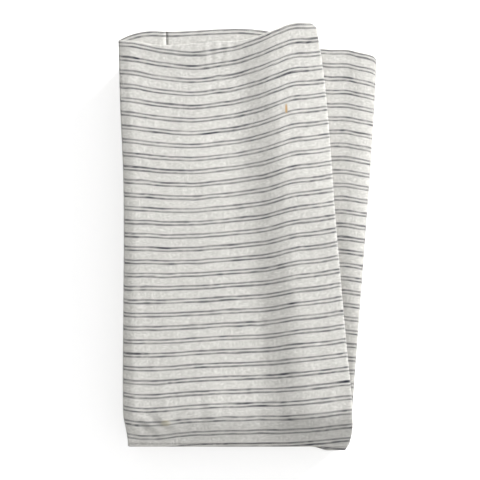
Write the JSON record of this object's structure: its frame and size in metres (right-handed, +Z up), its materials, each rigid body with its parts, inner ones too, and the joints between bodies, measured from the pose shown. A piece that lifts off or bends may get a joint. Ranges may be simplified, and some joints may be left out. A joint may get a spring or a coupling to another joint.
{
  "type": "folded baby wrap sling",
  "caption": "Long striped linen baby carrying wrap, folded lengthways and zigzagged into a flat parcel for storage.",
  "frame": {"origin": "on the table, under the middle of the folded parcel's outline", "axes": "+X across the parcel, from the lengthways spine fold to the loose fold edges; +Y along the parcel, from the bottom fold to the turned-in end; +Z up from the table"},
  "size_m": [0.2, 0.3299, 0.034],
  "materials": {
    "linen": "off-white plain-weave linen with pairs of dotted charcoal-blue lines, softly washed",
    "hem": "the same linen folded double and stitched in off-white thread",
    "label": "blank white woven tape"
  },
  "bodies": {
    "stack": {"leaf_03": "linen", "leaf_04": "linen", "leaf_05": "linen", "leaf_06": "linen", "leaf_07": "linen", "leaf_08": "linen", "leaf_09": "linen", "leaf_10": "linen", "leaf_11": "linen", "leaf_12": "linen", "leaf_13": "linen", "leaf_14": "linen", "leaf_15": "linen", "last_end_hem": "hem"},
    "second_leaf": {"leaf_02": "linen"},
    "top_leaf": {"front_panel": "linen", "front_flap": "linen", "front_flap_return": "linen", "front_long_hem": "hem", "back_long_hem": "hem", "back_flap": "linen", "back_panel": "linen", "spine_fold": "linen", "front_turned_end": "linen", "front_end_hem": "hem", "back_turned_end": "linen", "back_end_hem": "hem", "care_label": "label"}
  },
  "joints": [
    {"name": "second_leaf_fold", "type": "hinge", "parent": "stack", "child": "second_leaf", "pos_m": [0, 0.1429, 0.0252], "axis": [-1, 0, 0], "range_deg": [0, 90]},
    {"name": "top_leaf_fold", "type": "hinge", "parent": "second_leaf", "child": "top_leaf", "pos_m": [0, -0.1653, 0.02715], "axis": [1, 0, 0], "range_deg": [0, 183]}
  ]
}
